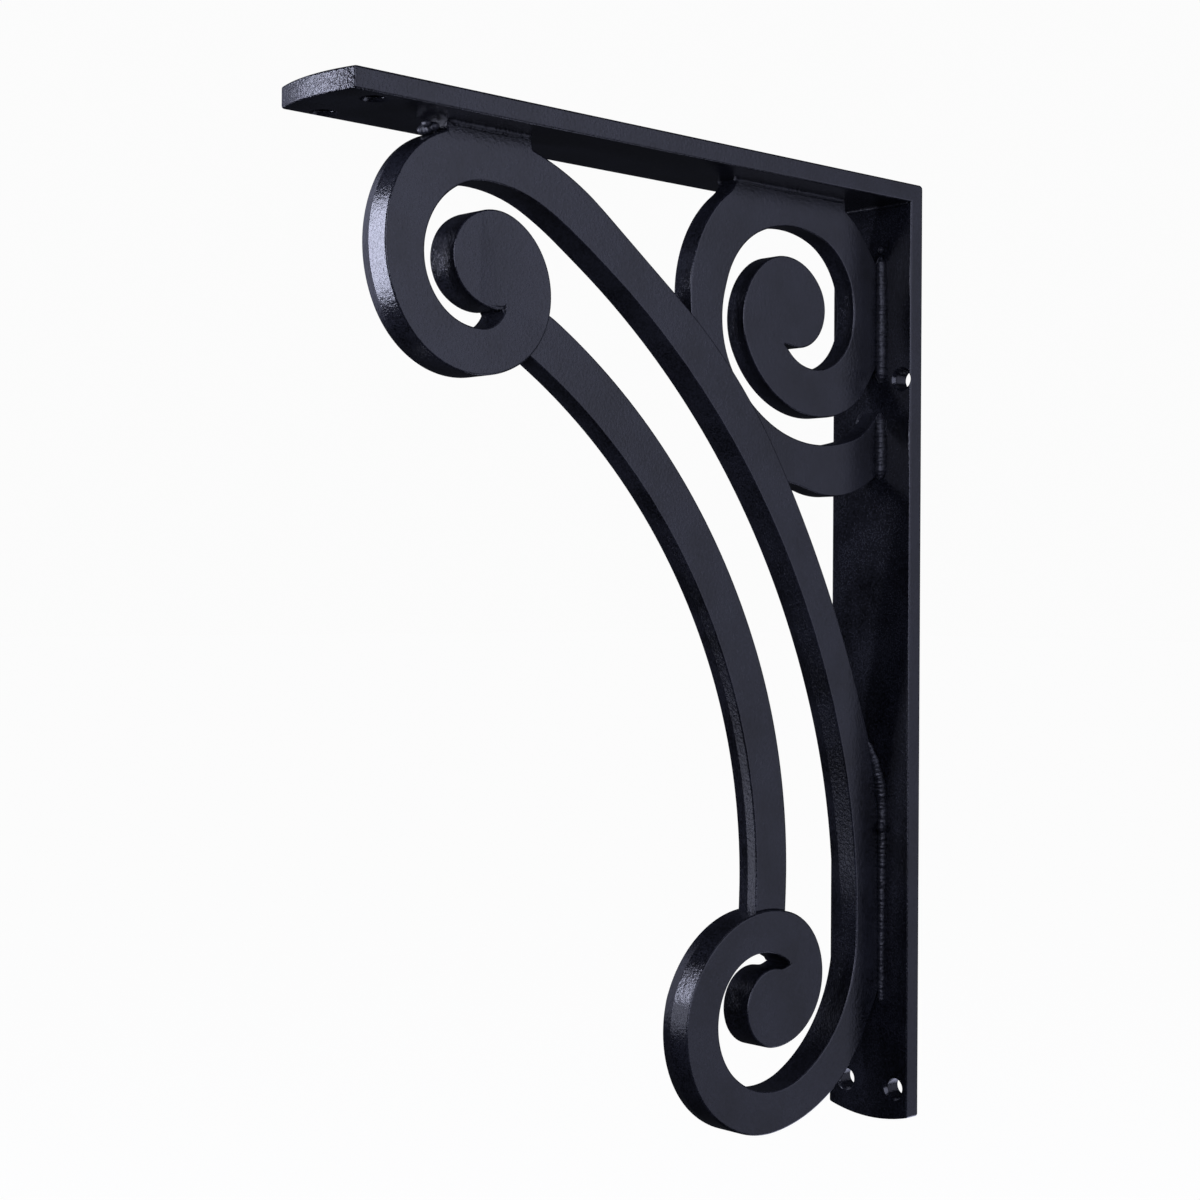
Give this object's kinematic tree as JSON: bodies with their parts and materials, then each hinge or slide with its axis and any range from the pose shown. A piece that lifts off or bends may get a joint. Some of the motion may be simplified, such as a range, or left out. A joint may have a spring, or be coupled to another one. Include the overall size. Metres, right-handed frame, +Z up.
{
  "type": "bar bracket",
  "caption": "Right-angled flat steel bracket filled with cut plate scrolls and a slim curved strip, screwed to a wall to carry an overhanging counter or shelf.",
  "frame": {"origin": "centre of the upright bar's flat rear face, half way across its width and half way up the bracket, where it meets the wall", "axes": "+X across the width, -Y out along the arm, +Y into the wall, +Z up"},
  "size_m": [0.044, 0.307, 0.406],
  "materials": {
    "powder_coat_bars": "satin black powder coat with a fine orange peel",
    "powder_coat_upright": "satin black powder coat with a fine orange peel",
    "powder_coat_main_scroll": "satin black powder coat with a fine orange peel",
    "powder_coat_corner_scroll": "satin black powder coat with a fine orange peel",
    "powder_coat_strip": "satin black powder coat with a fine orange peel"
  },
  "bodies": {
    "root": {"top_bar": "powder_coat_bars", "back_bar": "powder_coat_upright", "main_scroll": "powder_coat_main_scroll", "corner_scroll": "powder_coat_corner_scroll", "inner_strip": "powder_coat_strip"}
  },
  "joints": []
}
